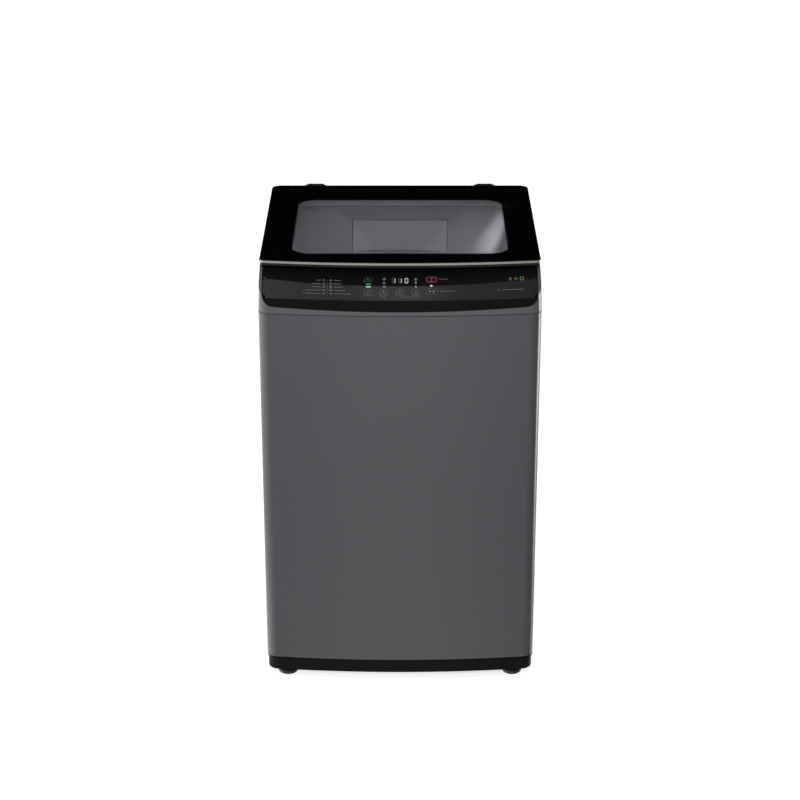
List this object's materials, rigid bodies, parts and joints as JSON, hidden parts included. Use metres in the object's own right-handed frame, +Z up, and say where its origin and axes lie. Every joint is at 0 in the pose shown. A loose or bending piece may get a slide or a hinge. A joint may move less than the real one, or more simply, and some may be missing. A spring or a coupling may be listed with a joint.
{
  "type": "top load washing machine",
  "caption": "Top load washing machine with bowed grey cabinet, sloping black touch panel, tilted glass lid, detergent drawer, sprung tub, spinning basket and pulsator.",
  "frame": {"origin": "on the floor under the middle of the overall box", "axes": "+X right when facing the front, +Y to the rear, +Z up; the bowed front faces -Y"},
  "size_m": [0.56, 0.57, 0.9275],
  "materials": {
    "grey_cabinet": "satin powder coat",
    "grey_plastic": "satin moulded",
    "throat_plastic": "semi-gloss moulded",
    "black_plastic": "satin moulded",
    "black_gloss": "high gloss",
    "lid_glass": "polished, black border printed on the underside",
    "champagne_trim": "brushed anodised",
    "galvanised_sheet": "galvanised",
    "zinc_steel": "zinc plated",
    "spring_steel": "oiled",
    "stainless": "brushed",
    "tub_plastic": "moulded polypropylene",
    "pale_plastic": "moulded",
    "grey_rubber": "matt",
    "black_rubber": "matt",
    "cast_aluminium": "cast",
    "circuit_board": "solder mask",
    "motor_paint": "enamel",
    "white_plastic": "moulded"
  },
  "bodies": {
    "cabinet": {"base_frame": "black_plastic", "cabinet_shell": "grey_cabinet", "rear_panel": "galvanised_sheet", "rear_panel_screws": "zinc_steel", "cord_gland": "black_rubber", "seam_gasket": "black_rubber", "top_frame": "grey_plastic", "throat_funnel": "throat_plastic", "dispenser_housing": "throat_plastic", "water_inlet_valve": "white_plastic", "inlet_duct": "grey_rubber", "control_bezel": "black_gloss", "control_panel_glass": "black_gloss", "display_board": "circuit_board", "control_module": "white_plastic", "hinge_bases": "black_plastic", "hinge_pins": "zinc_steel", "corner_brackets": "zinc_steel", "suspension_rods": "zinc_steel", "suspension_springs": "spring_steel", "rear_feet": "black_plastic", "drain_pump": "black_plastic", "drain_bellows": "black_rubber"},
    "lid": {"lid_glass": "lid_glass", "lid_frame": "black_plastic", "lid_front_trim": "champagne_trim", "lid_hinge_arm_left": "black_plastic", "lid_hinge_arm_right": "black_plastic", "lid_bumpers": "black_rubber"},
    "detergent_drawer": {"drawer_front": "throat_plastic", "drawer_tray": "pale_plastic"},
    "tub": {"outer_tub": "tub_plastic", "tub_ring": "tub_plastic", "tub_seal": "black_rubber", "damper_cups": "tub_plastic", "support_plate": "galvanised_sheet", "gearbox_housing": "cast_aluminium", "spin_bearing": "zinc_steel", "motor_housing": "motor_paint", "drive_belt": "black_rubber"},
    "basket": {"spin_basket": "stainless", "balance_ring": "pale_plastic", "basket_base": "pale_plastic", "basket_hub_flange": "cast_aluminium", "spin_tube": "zinc_steel", "lint_filters": "pale_plastic"},
    "pulsator": {"pulsator_plate": "pale_plastic", "pulsator_cap": "pale_plastic", "wash_shaft": "zinc_steel"},
    "drive_pulley": {"drive_pulley": "cast_aluminium", "input_shaft": "zinc_steel"},
    "motor_rotor": {"motor_shaft": "zinc_steel", "motor_pulley": "cast_aluminium"},
    "foot_nut_left": {"lock_nut_left": "zinc_steel"},
    "foot_left": {"foot_pad_left": "black_plastic", "foot_stud_left": "zinc_steel"},
    "foot_nut_right": {"lock_nut_right": "zinc_steel"},
    "foot_right": {"foot_pad_right": "black_plastic", "foot_stud_right": "zinc_steel"}
  },
  "joints": [
    {"name": "lid_hinge", "type": "hinge", "parent": "cabinet", "child": "lid", "pos_m": [0, 0.2645, 0.92], "axis": [-1, 0, 0], "range_deg": [0, 86]},
    {"name": "drawer_slide", "type": "slide", "parent": "cabinet", "child": "detergent_drawer", "axis": [0, -1, 0], "range_m": [0, 0.048]},
    {"name": "tub_bounce", "type": "slide", "parent": "cabinet", "child": "tub", "axis": [0, 0, 1], "range_m": [-0.012, 0.012], "stiffness_N_per_m": 16000, "springref_m": 0.01735, "deforming": ["suspension_springs", "drain_bellows"]},
    {"name": "basket_spin", "type": "hinge", "parent": "tub", "child": "basket", "pos_m": [0, 0, 0.3], "axis": [0, 0, 1], "continuous": true},
    {"name": "drive_pulley_spin", "type": "hinge", "parent": "tub", "child": "drive_pulley", "pos_m": [0, 0, 0.1], "axis": [0, 0, 1], "continuous": true},
    {"name": "pulsator_spin", "type": "hinge", "parent": "tub", "child": "pulsator", "pos_m": [0, 0, 0.26], "axis": [0, 0, 1], "continuous": true},
    {"name": "motor_spin", "type": "hinge", "parent": "tub", "child": "motor_rotor", "pos_m": [0.142, 0, 0.1], "axis": [0, 0, 1], "continuous": true},
    {"name": "foot_left_travel", "type": "slide", "parent": "cabinet", "child": "foot_nut_left", "axis": [0, 0, -1], "range_m": [0, 0.012]},
    {"name": "foot_left_turn", "type": "hinge", "parent": "foot_nut_left", "child": "foot_left", "pos_m": [-0.237, -0.2355, 0.02], "axis": [0, 0, 1], "range_deg": [0, 2880]},
    {"name": "foot_right_travel", "type": "slide", "parent": "cabinet", "child": "foot_nut_right", "axis": [0, 0, -1], "range_m": [0, 0.012]},
    {"name": "foot_right_turn", "type": "hinge", "parent": "foot_nut_right", "child": "foot_right", "pos_m": [0.237, -0.2355, 0.02], "axis": [0, 0, 1], "range_deg": [0, 2880]}
  ],
  "couplings": [
    {"joint": "pulsator_spin", "follows": "drive_pulley_spin", "ratio": 0.2},
    {"joint": "motor_spin", "follows": "drive_pulley_spin", "ratio": 2.5333},
    {"joint": "foot_left_turn", "follows": "foot_left_travel", "rad_per_m": 4188.8},
    {"joint": "foot_right_turn", "follows": "foot_right_travel", "rad_per_m": 4188.8}
  ]
}
